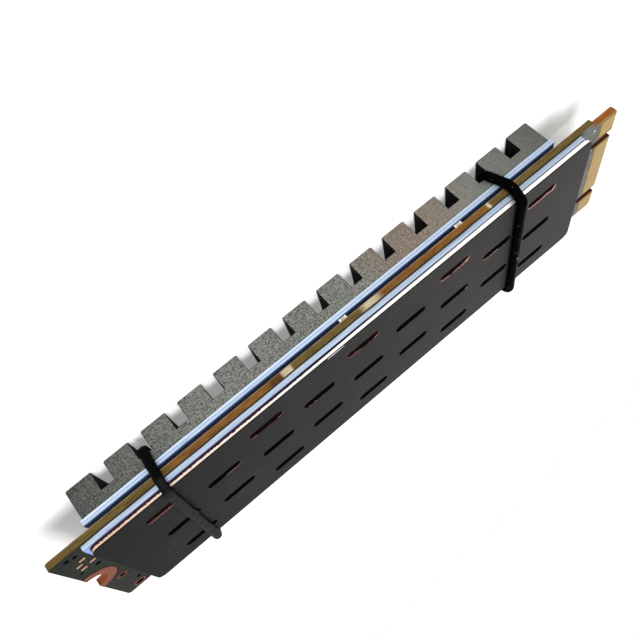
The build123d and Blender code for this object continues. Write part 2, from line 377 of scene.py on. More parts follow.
def edge_colour(tree, where):
    """The laminate's colour on the cut edges, with a painted highlight on the lower rim, and its layers."""
    layers = grain_of(tree, 0.08, 16.0)
    streaks = grain_of(tree, 0.4, 3.0)
    x = calc("ADD", where["X"], product(streaks, olive_wander))
    colour = routed_brown
    for span in olive_stretches:
        colour = paint_over(colour, (span_mask(x, *span), olive_brown))
    for span in burnt_lines:
        colour = paint_over(colour, (product(span_mask(where["X"], *span), burnt_share), laminate_shadow))
    for span in snapped_tabs:
        colour = paint_over(colour, (span_mask(where["X"], *span), torn_glass))
    across = calc("ABSOLUTE", where["Y"])
    tongue = product(ramp(where["X"], *tongue_from), ramp(across, *tongue_across))
    keys = product(tongue, ramp(across, *keys_across))
    # Painted highlight along the lower rim of the cut edge.
    above = calc("SUBTRACT", where["Z"], board_low.z / mm)
    low_rim = product(ramp(above, *low_rim_reach, high=low_rim_share), inverse(keys))
    shade = product(layers, streaks, streak_share)
    return paint_over(colour, (tongue, tongue_orange), (keys, key_brown), (low_rim, rim_painted_highlight),
                      (shade, laminate_shadow)), layers


# %% Board lacquer
lacquer_green = rgb(0.005, 0.0066, 0.0028)
lacquer_over_copper = rgb(0.012, 0.0155, 0.0065)
lacquer_worn = rgb(0.060, 0.066, 0.044)
bare_laminate = rgb(0.270, 0.185, 0.062)
track_pattern = {"Scale": 480.0, "Mortar Size": 0.03, "Mortar Smooth": 0.3, "Brick Width": 0.9, "Row Height": 0.22}
bare_from = (-37.38, -37.42)
worn_from = (-33.6, -34.4)
board_facing = (0.4, 0.6)
edge_roughness = 0.6
lacquer_roughness = 0.36
least_gloss = 0.35


def lacquer_colour(tree, worn_end, bare):
    """Dark green lacquer, a little lighter over the copper, worn by the contacts and gone from their edge."""
    coordinates = tree.nodes.new("ShaderNodeTexCoord")
    tracks = add_node(tree, "TexBrick", {"Vector": coordinates.outputs["Object"], **track_pattern}).outputs["Fac"]
    copper = product(inverse(tracks), grain_of(tree, 4.0))
    worn = product(worn_end, grain_of(tree, 0.7))
    return paint_over(lacquer_green, (copper, lacquer_over_copper), (worn, lacquer_worn),
                      (bare, bare_laminate)), tracks


def make_board_finish():
    """Lacquer on the faces, laminate on the edges, and more gloss towards the contacts."""
    material, tree = new_finish("board", specular=0.03, coat_roughness=0.2)
    where = use_group(tree, place)
    on_face = ramp(where["Level"], *board_facing)
    worn_end = ramp(where["X"], *worn_from)
    bare = ramp(where["X"], *bare_from)
    laminate, layers = edge_colour(tree, where)
    lacquer, tracks = lacquer_colour(tree, worn_end, bare)
    uneven = ramp(grain_of(tree, 0.5), 0, 1, low=least_gloss)
    relief = calc("ADD", product(tracks, on_face), product(layers, inverse(on_face)))
    return dress(material, {
        "Base Color": paint_over(laminate, (on_face, lacquer)),
        "Roughness": ramp(on_face, 0, 1, edge_roughness, lacquer_roughness),
        "Coat Weight": product(worn_end, on_face, inverse(bare), uneven),
    }, relief, 0.012)


board_finish = make_board_finish()
print("finish", board_finish.name)

# %% [markdown]
# ## Coated copper
# The plate is copper sheet with a dark satin coat on its faces. It was cut after coating, so every cut wall is
# bare. The outer wall is painted in two zones: a painted highlight above, and a painted dark reflection beneath,
# with a thin line of painted shade under the coat. The dark zone is thin by the contacts, and deeper and ragged by
# the screw notch, so its share follows X. Inside the slots the walls are in painted shade nearly all over, and a
# painted highlight on the copper shows only in patches, dimmer towards the screw notch.

# %% Cut walls of the plate
plate_low, plate_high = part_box("slotted_back_plate")
plate_middle = (plate_low + plate_high) / 2 / mm
plate_half = (plate_high - plate_low) / 2 / mm
outer_wall_reach = (0.35, 0.3)
# Painted highlight on the outer wall: warm by the screw notch, pale by the contacts.
cut_highlight_warm = rgb(0.68, 0.48, 0.335)
cut_highlight_pale = rgb(0.97, 0.92, 0.87)
# Painted dark reflection under the highlight, red-brown by the screw notch.
cut_dark_reflection = rgb(0.026, 0.007, 0.013)
# Painted shade: black for the rim line and for the dark zone by the contacts.
painted_shade_black = rgb(0.004, 0.002, 0.002)
dark_share_along = (-18.0, 6.0, 0.16, 0.36)
ragged_along = (2.0, 16.0, 0.0, 0.20)
dark_border = (-0.05, 0.07)
dark_red_along = (4.0, 16.0)
warm_along = (8.0, 34.0)
# Slot walls: painted highlight on the copper, dimmed towards the screw notch, over painted shade in black and shaded
# copper brown.
slot_highlight_copper = rgb(0.80, 0.46, 0.36)
slot_highlight_dimmed = rgb(0.22, 0.105, 0.085)
slot_painted_shade = rgb(0.003, 0.0012, 0.001)
slot_shaded_copper = rgb(0.026, 0.007, 0.005)
slot_shade_across = (-8.0, 3.0, 1.02, 1.34)
slot_patchiness = 0.42
slot_drift = 0.12
slot_border = (-0.02, 0.02)
slot_dull_along = (-24.0, 0.0)
slot_brown_across = (-3.0, -6.0)


def off_outline(value, axis):
    """1 on the plate's outer wall across one axis, 0 further in."""
    off_middle = calc("ABSOLUTE", calc("SUBTRACT", value, plate_middle[axis]))
    return ramp(calc("SUBTRACT", plate_half[axis], off_middle), *outer_wall_reach)


def outer_cut(tree, where, height):
    """The sheared outer wall: a painted highlight over a painted dark reflection, and where the highlight is."""
    ragged = product(grain_of(tree, 0.2), ramp(where["X"], *ragged_along))
    dark_share = calc("ADD", ramp(where["X"], *dark_share_along), ragged)
    bright = ramp(calc("SUBTRACT", height, dark_share), *dark_border)
    # Painted dark reflection below the highlight: black by the contacts, red-brown by the notch.
    dark_zone = paint_over(painted_shade_black, (ramp(where["X"], *dark_red_along), cut_dark_reflection))
    highlight_zone = paint_over(cut_highlight_pale, (ramp(where["X"], *warm_along), cut_highlight_warm))
    return paint_over(dark_zone, (bright, highlight_zone)), bright


def slot_cut(tree, where, height, along):
    """The slots' walls: painted shade with patches of painted highlight, and where the highlight is."""
    patches = grain_of(tree, 1.6, 1.5)
    start = calc("SUBTRACT", ramp(where["Y"], *slot_shade_across), product(patches, slot_patchiness))
    start = calc("ADD", start, product(along, slot_drift))
    # Painted highlight in patches, painted shade elsewhere.
    bright = ramp(calc("SUBTRACT", height, start), *slot_border)
    brown = product(ramp(where["Y"], *slot_brown_across), patches)
    dark_zone = paint_over(slot_painted_shade, (brown, slot_shaded_copper))
    highlight_zone = paint_over(slot_highlight_copper, (ramp(where["X"], *slot_dull_along), slot_highlight_dimmed))
    return paint_over(dark_zone, (bright, highlight_zone)), bright


# %% Coated copper
# Painted shade: the coat darkens towards the screw notch.
coat_shaded_at_notch = rgb(0.005, 0.005, 0.0055)
coat_at_contacts = rgb(0.050, 0.048, 0.046)
coat_shadow = rgb(0.004, 0.004, 0.0045)
coat_dust = rgb(0.3, 0.29, 0.28)
coat_grain_share = 0.3
chipped_stretch = (2.9, 5.2, 0.05)
chipped_reach = (0.22, 0.19)
chipped_wander = 0.12
wall_facing = (0.985, 0.95)
rim_height = (0.79, 0.83)
bare_metallic = 0.6
coat_roughness = 0.5
bare_roughness = 0.3


def coat_colour(tree, where, along, fine):
    """Dark coat, darker towards the notch in painted shade, a little dusty, and chipped at the rim in highlight
    white.
    """
    from_rim = calc("SUBTRACT", where["Y"], plate_low.y / mm)
    from_rim = calc("ADD", from_rim, product(grain_of(tree, 0.35, 3.0), chipped_wander))
    chipped = product(ramp(from_rim, *chipped_reach), span_mask(where["X"], *chipped_stretch))
    dusty = use_group(tree, dust, Amount=0.04)["Cover"]
    return paint_over(coat_at_contacts, (along, coat_shaded_at_notch), (product(fine, coat_grain_share), coat_shadow),
                      (dusty, coat_dust), (chipped, cut_highlight_pale))


def make_coated_copper():
    """Dark coat on the faces, bare copper with painted light and shade on its cut walls, and a painted dark rim
    line.
    """
    material, tree = new_finish("coated_copper", specular=0.035)
    where = use_group(tree, place)
    along = ramp(where["X"], plate_low.x / mm, plate_high.x / mm)
    height = ramp(where["Z"], plate_low.z / mm, plate_high.z / mm)
    fine = grain_of(tree, 0.16)
    outside = calc("MAXIMUM", off_outline(where["X"], 0), off_outline(where["Y"], 1))
    wall = ramp(where["Level"], *wall_facing)
    edge, edge_bright = outer_cut(tree, where, height)
    slot, slot_bright = slot_cut(tree, where, height, along)
    # Painted shade: a dark line along the top of the outer wall, under the coat.
    rim = product(ramp(height, *rim_height), wall, outside)
    copper = paint_over(slot, (outside, edge), (rim, painted_shade_black))
    shine = add_node(tree, "Mix", {0: outside, 2: slot_bright, 3: edge_bright}).outputs[0]
    shine = product(shine, wall, inverse(rim))
    return dress(material, {
        "Base Color": paint_over(coat_colour(tree, where, along, fine), (wall, copper)),
        "Metallic": product(shine, bare_metallic),
        "Roughness": ramp(shine, 0, 1, coat_roughness, bare_roughness),
    }, fine, 0.003)


coated_copper = make_coated_copper()
print("finish", coated_copper.name)

# %% [markdown]
# ## Rubber bands
# Both bands are black silicone rubber. The one by the contacts is clean: black all over, with a few small glints.
# The other has painted light: a dull grey on what faces up. One function makes both.

# %% Band rubber
rubber_black = rgb(0.0015, 0.0015, 0.0017)
# Painted light on the upward faces of a band.
painted_light_grey = rgb(0.026, 0.027, 0.025)
top_light_facing = (0.15, 0.75)
top_light_least = 0.7
top_light_roughness = 0.6
glint_contrast = (0.92, 0.98)


def make_rubber(name, specular, gloss_roughness, top_light, glints):
    """Black rubber, with painted light as a dull grey on what faces up, or a few small shiny spots."""
    material, tree = new_finish(name, specular=specular, coat_roughness=0.12)
    # Painted light: what faces up turns a dull grey.
    upward = ramp(use_group(tree, place)["Up"], *top_light_facing, high=top_light)
    dull = product(upward, ramp(grain_of(tree, 1.5), 0, 1, low=top_light_least))
    return dress(material, {
        "Base Color": paint_over(rubber_black, (dull, painted_light_grey)),
        "Roughness": ramp(dull, 0, 1, gloss_roughness, top_light_roughness),
        "Coat Weight": ramp(grain_of(tree, 0.7), *glint_contrast, high=glints),
    }, grain_of(tree, 0.2), 0.008)


clean_rubber = make_rubber("band_rubber_clean", specular=0.0015, gloss_roughness=0.16, top_light=0.0, glints=0.8)
top_lit_rubber = make_rubber("band_rubber_top_lit", specular=0.02, gloss_roughness=0.34, top_light=1.0, glints=0.0)
print("finishes", clean_rubber.name, top_lit_rubber.name)

# %% [markdown]
# ## Metals and moulded packages
# The small parts need plainer finishes: metals with a cloudy tarnish, and resins or ceramics with fine grain. Each
# is two colours mixed by grain, so two functions make them. Only the chips, with their green base, need a third.

# %% Small finishes
mould_light = rgb(0.030, 0.030, 0.032)
mould_dark = rgb(0.014, 0.014, 0.015)
chip_base_green = rgb(0.014, 0.034, 0.016)
chip_base = 0.18
chip_base_border = (-0.02, 0.02)


def make_metal(name, bright, dull, roughness, metallic=1.0, specular=0.5):
    """Plating whose tint drifts between two colours."""
    material, tree = new_finish(name, roughness, specular, metallic)
    tint = paint_over(bright, (grain_of(tree, 0.8), dull))
    return dress(material, {"Base Color": tint}, grain_of(tree, 0.08), 0.004)


def make_package(name, light, dark, roughness, size=0.12, specular=0.4):
    """Moulded resin or fired ceramic, with a fine grain."""
    material, tree = new_finish(name, roughness, specular)
    fine = grain_of(tree, size)
    return dress(material, {"Base Color": paint_over(dark, (fine, light))}, fine, 0.008)


def make_chip_finish():
    """Matt black mould on a thin dark green base, which is the side soldered to the board."""
    material, tree = new_finish("chip_package", roughness=0.55, specular=0.3)
    fine = grain_of(tree, 0.12)
    above = calc("SUBTRACT", use_group(tree, place)["Z"], board_low.z / mm - chip_base)
    colour = paint_over(mould_dark, (fine, mould_light), (ramp(above, *chip_base_border), chip_base_green))
    return dress(material, {"Base Color": colour}, fine, 0.008)


gold_finish = make_metal("gold", rgb(0.66, 0.46, 0.155), rgb(0.53, 0.36, 0.12), 0.32)
# The notch plating's dark red is partly its own copper tone and partly painted shade.
notch_copper_in_shade = make_metal("notch_copper_in_painted_shade", rgb(0.26, 0.070, 0.026), rgb(0.15, 0.038, 0.014), 0.40, 0.35, 0.05)
pad_gold_finish = make_metal("service_pad_gold", rgb(0.66, 0.36, 0.22), rgb(0.46, 0.24, 0.14), 0.34)
tin_finish = make_metal("tinned_ends", rgb(0.78, 0.77, 0.74), rgb(0.62, 0.61, 0.58), 0.30)
chip_finish = make_chip_finish()
moulded_finish = make_package("moulded_body", mould_light, mould_dark, 0.55)
via_finish = make_package(
    "filled_vias", rgb(0.0015, 0.0014, 0.0012), rgb(0.0008, 0.0008, 0.0008), 0.6, specular=0.005)
inductor_finish = make_package("inductor_body", rgb(0.085, 0.085, 0.09), rgb(0.05, 0.05, 0.052), 0.6, size=0.2)
ceramic_finish = make_package("capacitor_ceramic", rgb(0.80, 0.74, 0.58), rgb(0.64, 0.56, 0.40), 0.45)
resistor_finish = make_package("resistor_body", rgb(0.035, 0.035, 0.04), rgb(0.02, 0.02, 0.024), 0.4)
print("materials so far:", len(bpy.data.materials))

# %% [markdown]
# ## Working on a mesh by hand, in code
# An operator acts on all that is selected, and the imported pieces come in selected. So each step first selects
# one piece alone, or nothing where a primitive is added. In edit mode, faces are chosen by where they are and
# which way they face.

# %% Mesh helpers
def select_only(piece):
    """Leaves one piece selected and active."""
    bpy.ops.object.select_all(action="DESELECT")
    piece.select_set(True)
    bpy.context.view_layer.objects.active = piece


def start_from(primitive, **settings):
    """Adds a primitive with nothing else selected, and gives it back."""
    bpy.ops.object.select_all(action="DESELECT")
    primitive(**settings)
    return bpy.context.object


def edit(piece, by="FACE"):
    """Opens one piece in edit mode with everything on it selected."""
    select_only(piece)
    bpy.ops.object.mode_set(mode="EDIT")
    bpy.ops.mesh.select_mode(type=by)
    bpy.ops.mesh.select_all(action="SELECT")


def close_edit():
    """Turns faces outwards and leaves edit mode."""
    bpy.ops.mesh.select_all(action="SELECT")
    bpy.ops.mesh.normals_make_consistent(inside=False)
    bpy.ops.object.mode_set(mode="OBJECT")


def extrude(way):
    """Extrudes the selected faces by a distance along X, Y and Z."""
    bpy.ops.mesh.extrude_region_move(TRANSFORM_OT_translate={"value": way})


def pick_faces(piece, wanted):
    """In edit mode, selects only the faces whose middle and normal pass a test."""
    bpy.ops.mesh.select_all(action="DESELECT")
    mesh = bmesh.from_edit_mesh(piece.data)
    for face in mesh.faces:
        face.select_set(wanted(face.calc_center_median(), face.normal))
    mesh.select_flush(True)
    bmesh.update_edit_mesh(piece.data)


# %% Rims, finish and copies
rim_segments = 2
closed_up = 0.0002 * mm
same_corner = 0.001 * mm
same_plane = math.radians(1)


def round_rims(piece, width, angle=35):
    """Rounds every sharp rim with a bevel, keeps the flats flat to the light, and applies both."""
    select_only(piece)
    bevel = piece.modifiers.new("rims", "BEVEL")
    bevel.width = width
    bevel.segments = rim_segments
    bevel.limit_method = "ANGLE"
    bevel.angle_limit = math.radians(angle)
    bpy.ops.object.modifier_apply(modifier=bevel.name)
    edit(piece)
    bpy.ops.mesh.remove_doubles(threshold=closed_up)
    close_edit()
    bpy.ops.object.shade_smooth()
    piece.modifiers.new("flats", "WEIGHTED_NORMAL")
    bpy.ops.object.modifier_apply(modifier="flats")


def finish_piece(piece, material, node=None, smooth=35):
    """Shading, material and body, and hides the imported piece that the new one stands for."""
    select_only(piece)
    bpy.ops.object.transform_apply()
    if smooth:
        bpy.ops.object.shade_smooth_by_angle(angle=math.radians(smooth))
    piece.data.materials.clear()
    piece.data.materials.append(material)
    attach(piece, "root")
    if node:
        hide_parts(node)
    print("made", piece.name, "with", len(piece.data.polygons), "faces")


def merged_copy(node, name):
    """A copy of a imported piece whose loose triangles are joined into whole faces."""
    piece = bpy.data.objects.new(name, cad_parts[node].data.copy())
    scene.collection.objects.link(piece)
    edit(piece)
    bpy.ops.mesh.customdata_custom_splitnormals_clear()
    bpy.ops.mesh.remove_doubles(threshold=same_corner)
    bpy.ops.mesh.dissolve_limited(angle_limit=same_plane)
    close_edit()
    return piece


# %% [markdown]
# ## The rigid pieces with fine rims
# No real piece has a knife-sharp rim. The block, the plate, the chips and the inductors are copies of the packed
# solids with every rim rounded by 0.05 to 0.11 mm, which is what catches a thin line of light. The bevel could be
# faked by a shader, but a real one is part of the mesh itself.

# %% Rounded copies
block_rim = 0.11 * mm
plate_rim = 0.08 * mm
chip_rim = 0.05 * mm
inductor_rim = 0.10 * mm
chips = {
    "controller_chip": "controller_package",
    "cache_memory_chip": "cache_package",
    "flash_memory_chip_1": "flash_package_1",
    "flash_memory_chip_2": "flash_package_2",
    "power_chip": "power_package",
    "firmware_chip": "firmware_package",
}


def rounded_copy(node, name, rim, material):
    """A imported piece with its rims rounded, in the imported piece's place."""
    piece = merged_copy(node, name)
    round_rims(piece, rim)
    finish_piece(piece, material, node, smooth=0)


rounded_copy("finned_heat_sink", "fin_block", block_rim, black_aluminium)
rounded_copy("slotted_back_plate", "slotted_plate", plate_rim, coated_copper)
for node, name in chips.items():
    rounded_copy(node, name, chip_rim, chip_finish)
rounded_copy("power_inductors", "inductor_bodies", inductor_rim, inductor_finish)

# %% [markdown]
# ## Soft pads
# A pad squeezed between two flat things swells at its sides, and never evenly. The sheet is a fine grid, extruded
# to its thickness and cut through at a few levels. Its side points are then pushed out and in: a rounded lip at
# both faces, a shallow furrow along the middle, a slow wander along the length, and a few small dents.

# %% Pad sides
pad_step = 0.5 * mm
pad_levels = (0.1, 0.3, 0.46, 0.54, 0.7, 0.9)
pad_profile = ((0.0, -0.05), (0.1, 0.0), (0.3, 0.05), (0.46, 0.03), (0.5, 0.0),
               (0.54, 0.03), (0.7, 0.05), (0.9, 0.0), (1.0, -0.05))
pad_wander = 0.05 * mm
wander_length = 3 * mm
dent_level = 0.9
dent_spread = (0.16, 0.06)
side_slack = 0.01 * mm


def pad_push(share):
    """How far the side stands out at a share of the thickness, in millimetres."""
    for (low, low_push), (high, high_push) in zip(pad_profile, pad_profile[1:]):
        if share <= high:
            return low_push + (high_push - low_push) * (share - low) / (high - low)
    return pad_profile[-1][1]


def side_push(point, low, thickness, dents):
    """How far one point of the side moves outwards: profile, wander and dents."""
    share = (point.z - low.z) / thickness
    push = pad_push(share) * mm + noise.noise(Vector((point.x, point.y, low.z)) / wander_length) * pad_wander
    for x, side, depth in dents:
        away = (point.x / mm - x) ** 2 / dent_spread[0] + (share - dent_level) ** 2 / dent_spread[1]
        if side * point.y > 0:
            push -= depth * mm * math.exp(-away)
    return push


# %% Swollen pads
def make_soft_pad(name, node, material, dents):
    """A swollen sheet in the place of a packed pad."""
    low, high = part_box(node)
    size = high - low
    middle = (low + high) / 2
    pad = start_from(bpy.ops.mesh.primitive_grid_add, x_subdivisions=round(size.x / pad_step),
                     y_subdivisions=round(size.y / pad_step), size=1, location=(middle.x, middle.y, low.z))
    pad.name = name
    pad.scale = (size.x, size.y, 1)
    bpy.ops.object.transform_apply()
    edit(pad)
    extrude((0, 0, size.z))
    for level in pad_levels:
        bpy.ops.mesh.select_all(action="SELECT")
        bpy.ops.mesh.bisect(plane_co=(0, 0, low.z + level * size.z), plane_no=(0, 0, 1))
    close_edit()
    for vertex in pad.data.vertices:
        point = vertex.co.copy()
        push = side_push(point, low, size.z, dents)
        if abs(abs(point.y - middle.y) - size.y / 2) < side_slack:
            vertex.co.y += math.copysign(push, point.y)
        if abs(abs(point.x - middle.x) - size.x / 2) < side_slack:
            vertex.co.x += math.copysign(push, point.x - middle.x)
    finish_piece(pad, material, node, smooth=50)


sink_pad_dents = ((22.0, -1, 0.18), (13.5, -1, 0.12), (-8.0, 1, 0.15), (-21.0, 1, 0.12))
plate_pad_dents = ((31.5, -1, 0.15), (33.2, -1, 0.12), (12.0, -1, 0.10), (5.0, 1, 0.15), (-15.0, 1, 0.12))
for name, node, furrow_shade_depth, lip_shade_depth, dents in (
    ("sink_pad", "sink_thermal_pad", 0.7, 0.4, sink_pad_dents),
    ("plate_pad", "plate_thermal_pad", 0.3, 0.8, plate_pad_dents),
):
    silicone = make_pad_finish(name + "_silicone", node, furrow_shade_depth, lip_shade_depth)
    make_soft_pad(name, node, silicone, dents)


# %% [markdown]
# ## Rubber bands
# A stretched band is one long section: it runs straight along a saw slot, turns up the side, turns again over the
# plate, and comes back. That is how it is modelled: a flattened circle is extruded along each straight and spun
# round each corner, and the last ring is bridged to the first. Two corners are not above the slot, so the band
# leans, and each corner's turn has its own axis and angle.

# %% Band route
saw_pitch = 4.8 * mm
saw_width = 1.6 * mm
band_gap = 0.02 * mm
band_ease = 0.18 * mm
fin_depth = 2.35 * mm
sink_low, sink_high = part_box("finned_heat_sink")
slot_roof = sink_low.z + fin_depth


def outside_of(before, corner, after, distance):
    """The corner of a line that runs at a distance round the outside of a convex outline, seen along X."""
    come = (corner - before).normalized()
    leave = (after - corner).normalized()
    outwards = (come - leave).normalized()
    return corner + outwards * distance / math.sin((math.pi - come.angle(leave)) / 2)


def band_route(slot_number, near_offset, far_offset, near_bulge, thickness):
    """The corners of a band's middle line: along the slot, up the near side, over the plate and down."""
    x = sink_high.x - slot_number * saw_pitch + saw_width / 2
    near_side = [(sink_low.y, slot_roof), (board_low.y, board_low.z), (board_low.y, board_high.z),
                 (plate_low.y, plate_high.z)]
    outline = [Vector((0, y, z)) for y, z in near_side]
    outline += [Vector((0, -y, z)) for y, z in reversed(near_side)]
    half = thickness / 2 + band_gap
    route = []
    for index, corner in enumerate(outline):
        turn = outside_of(outline[index - 1], corner, outline[(index + 1) % len(outline)], half)
        rise = (turn.z - slot_roof + half) / (plate_high.z - slot_roof + 2 * half)
        turn.x = x + rise * (near_offset if turn.y < 0 else far_offset)
        if turn.y < 0:
            turn.x += 4 * rise * (1 - rise) * near_bulge
        route.append(turn)
    return route


# %% Band shape
band_round = 32
band_steps = 8
band_step = 0.3 * mm
wobble_length = 1.2 * mm
lump_reach = 0.25 * mm


def run_on(here, there):
    """Extrudes the open ring along a straight run, in steps short enough to be shaped afterwards."""
    run = there - here
    steps = max(1, round(run.length / band_step))
    for _ in range(steps):
        bpy.ops.mesh.extrude_edges_move(TRANSFORM_OT_translate={"value": run / steps})


def make_uneven(band, wobble, lumps):
    """Pushes the rubber's skin in and out a little, and raises a small lump at each place given."""
    pushes = []
    for vertex in band.data.vertices:
        push = noise.noise(vertex.co / wobble_length) * wobble
        for x, y, z, height in lumps:
            away = (vertex.co - Vector((x, y, z)) * mm).length / lump_reach
            push += height * mm * math.exp(-away ** 2)
        pushes.append(vertex.normal * push)
    for vertex, push in zip(band.data.vertices, pushes):
        vertex.co += push


def make_band(name, route, width, thickness):
    """Extrudes and spins a flattened circle round the route, and closes the loop."""
    start = (route[-1] + route[0]) / 2
    band = start_from(bpy.ops.mesh.primitive_circle_add, vertices=band_round, radius=1, fill_type="NOTHING")
    band.name = name
    first_way = (route[0] - route[-1]).normalized()
    turn = Matrix((Vector((1, 0, 0)), Vector((0, 0, 1)), first_way)).transposed().to_4x4()
    band.data.transform(Matrix.Translation(start) @ turn @ Matrix.Diagonal((width / 2, thickness / 2, 1, 1)))
    edit(band, by="EDGE")
    here = start
    radius = thickness / 2 + band_ease
    for index, corner in enumerate(route):
        come = (corner - route[index - 1]).normalized()
        leave = (route[(index + 1) % len(route)] - corner).normalized()
        angle = come.angle(leave)
        reach = radius * math.tan(angle / 2)
        bend_start = corner - come * reach
        inwards = (leave - come * come.dot(leave)).normalized()
        run_on(here, bend_start)
        hub = bend_start + inwards * radius
        bpy.ops.mesh.spin(steps=band_steps, angle=-angle, center=hub, axis=come.cross(leave))
        here = corner + leave * reach
    run_on(here, start + (here - start).normalized() * band_step)
    mesh = bmesh.from_edit_mesh(band.data)
    for edge in mesh.edges:
        edge.select_set(len(edge.link_faces) == 1)
    bmesh.update_edit_mesh(band.data)
    bpy.ops.mesh.bridge_edge_loops()
    close_edit()
    return band


# %% Both bands
notch_band_width = 1.14 * mm
notch_band_thickness = 0.88 * mm
contact_band_width = 1.34 * mm
contact_band_thickness = 0.98 * mm
notch_route = band_route(2, 0.44 * mm, 1.42 * mm, 0.0, notch_band_thickness)
contact_route = band_route(12, -0.58 * mm, -0.95 * mm, -0.40 * mm, contact_band_thickness)
moulding_lumps = ((26.1, -1.5, 7.5, 0.42), (26.35, 6.0, 7.5, 0.42),
                  (26.1, -11.1, 2.2, 0.24), (26.4, -11.1, 1.9, 0.24))

notch_band = make_band("notch_band", notch_route, notch_band_width, notch_band_thickness)
contact_band = make_band("contact_band", contact_route, contact_band_width, contact_band_thickness)
make_uneven(notch_band, 0.07 * mm, moulding_lumps)
make_uneven(contact_band, 0.03 * mm, ())
finish_piece(notch_band, top_lit_rubber, "band_by_screw_notch", smooth=60)
finish_piece(contact_band, clean_rubber, "band_by_contacts", smooth=60)

# %% [markdown]
# ## Small parts under the board
# Between the board and the first pad hang the drive's own small parts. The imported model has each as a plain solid,
# all of one kind in one node. The places are read from there; one part is shaped by hand, and then copied to every
# other place, each copy with its own mesh. A ceramic part is a fired body between two tinned cups, which wrap
# round its ends and touch the board, so that the body itself hangs just clear.

# %% Places and copies
def solid_boxes(node):
    """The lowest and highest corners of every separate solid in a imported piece."""
    piece = merged_copy(node, "solids")
    edit(piece)
    bpy.ops.mesh.separate(type="LOOSE")
    bpy.ops.object.mode_set(mode="OBJECT")
    boxes = []
    for solid in bpy.context.selected_objects:
        points = [vertex.co for vertex in solid.data.vertices]
        boxes.append((Vector([min(axis) for axis in zip(*points)]), Vector([max(axis) for axis in zip(*points)])))
    bpy.ops.object.delete()
    return sorted(boxes, key=lambda box: tuple(box[0]))


def add_block(low, high):
    """A block between two corners, to be shaped further."""
    block = start_from(bpy.ops.mesh.primitive_cube_add, size=1, location=(low + high) / 2)
    block.scale = high - low
    bpy.ops.object.transform_apply()
    return block


def join_all(pieces):
    """Joins a list of pieces into the first of them."""
    select_only(pieces[0])
    for piece in pieces:
        piece.select_set(True)
    bpy.ops.object.join()
    return pieces[0]


def set_out(shape, node, name, material):
    """Shapes one part, copies it to the place of every solid in a node, and joins the copies into one piece."""
    boxes = solid_boxes(node)
    template = shape(*boxes[0])
    copies = []
    for low, high in boxes:
        copy = bpy.data.objects.new("copy", template.data.copy())
        copy.data.transform(Matrix.Translation(low - boxes[0][0]))
        scene.collection.objects.link(copy)
        copies.append(copy)
    bpy.data.objects.remove(template)
    piece = join_all(copies)
    piece.name = name
    finish_piece(piece, material, node)


# %% Capacitors and resistors
squarely = 0.99
cup_wall = 0.02 * mm
cup_share = 0.24
part_rim = 0.04 * mm


def ceramic_body(low, high):
    """The fired body, a little thinner than its tinned ends."""
    inset = Vector((1, 1, 1)) * cup_wall
    body = add_block(low + inset, high - inset)
    round_rims(body, part_rim)
    return body


def tinned_ends(low, high):
    """A hollow cup over each end of the longer side."""
    along = 0 if high.x - low.x > high.y - low.y else 1
    reach = (high - low)[along] * cup_share
    cups = []
    for side in (-1, 1):
        cup_low, cup_high = low.copy(), high.copy()
        if side < 0:
            cup_high[along] = low[along] + reach
        else:
            cup_low[along] = high[along] - reach
        cup = add_block(cup_low, cup_high)
        round_rims(cup, part_rim)
        edit(cup)
        pick_faces(cup, lambda middle, normal: normal[along] * side < -squarely)
        bpy.ops.mesh.inset(thickness=cup_wall)
        hollow = Vector((0, 0, 0))
        hollow[along] = side * reach / 2
        extrude(hollow)
        close_edit()
        cups.append(cup)
    return join_all(cups)


for node, kind, material, slot in (
    ("ceramic_capacitors", "capacitor", ceramic_finish, "capacitor_ceramic"),
    ("bulk_capacitors", "bulk_capacitor", ceramic_finish, "capacitor_ceramic"),
    ("chip_resistors", "resistor", resistor_finish, "resistor_body"),
):
    set_out(ceramic_body, node, kind + "_bodies", material)
    set_out(tinned_ends, node, kind + "_ends", tin_finish)


# %% [markdown]
# ## Transistors and the clock crystal
# A small transistor is moulded in two halves, so its body is widest where they meet. Its flat leads leave there,
# drop to the board and end in a foot. A lead is easiest to make backwards: the foot is a block, and the same face
# is extruded down and then inwards. The crystal is a can with a lid let into its lower face.

# %% Transistors and crystal
lead_reach = 0.5 * mm
lead_width = 0.4 * mm
lead_sheet = 0.12 * mm
lead_places = ((1, -0.95 * mm), (1, 0.95 * mm), (-1, 0.0))
stand_off = 0.06 * mm
body_taper = (0.86, 0.94, 1)
lid_margin = 0.22 * mm
lid_depth = 0.04 * mm


def transistor_body(low, high):
    """A moulded body, widest at its middle, between its leads."""
    body = add_block(low + Vector((lead_reach, 0, 0)), high - Vector((lead_reach, 0, stand_off)))
    middle = (low + high) / 2
    edit(body)
    bpy.ops.mesh.bisect(plane_co=middle, plane_no=(0, 0, 1))
    pick_faces(body, lambda centre, normal: abs(normal.z) > squarely)
    bpy.ops.transform.resize(value=body_taper, center_override=middle)
    close_edit()
    round_rims(body, part_rim, angle=20)
    return body


